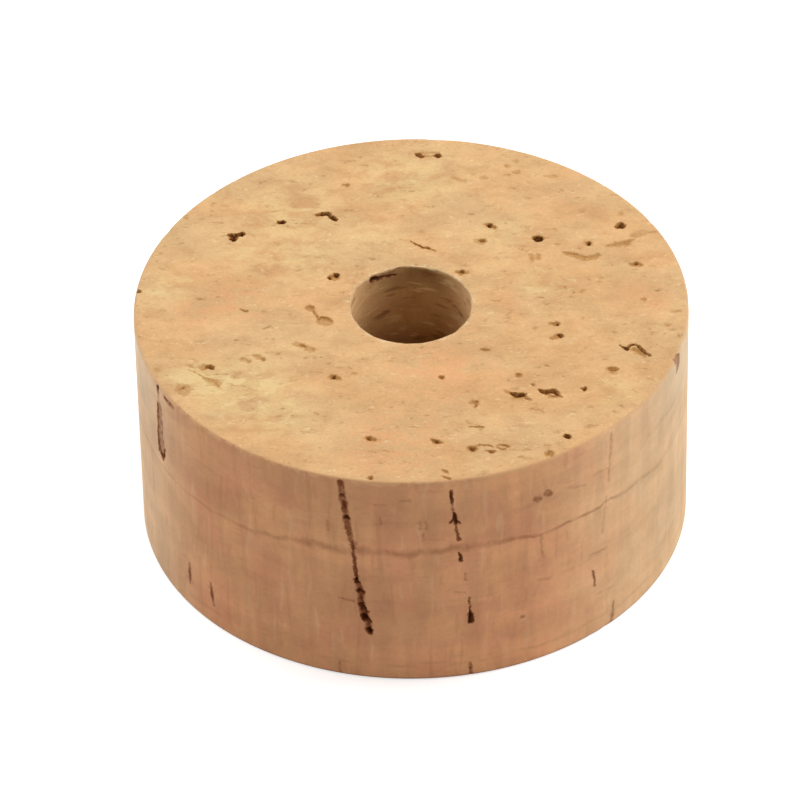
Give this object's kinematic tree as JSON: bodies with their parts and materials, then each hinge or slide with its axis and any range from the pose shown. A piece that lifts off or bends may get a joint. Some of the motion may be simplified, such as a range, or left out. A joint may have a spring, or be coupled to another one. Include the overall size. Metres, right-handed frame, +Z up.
{
  "type": "cork disc",
  "caption": "Flat round disc of natural cork with a bore through its middle, stacked and glued on a rod as a grip blank, spacer or stopper blank.",
  "frame": {"origin": "centre of the lower end face, on the bore's axis", "axes": "+Z up along the bore's axis, towards the upper end face; the picture looks at the disc along +Y from above, with +X to the right"},
  "size_m": [0.028, 0.028, 0.0128],
  "materials": {
    "cork": "bare natural cork, matt, cut and sanded, with dark open pores"
  },
  "bodies": {
    "root": {"cork_disc": "cork"}
  },
  "joints": []
}
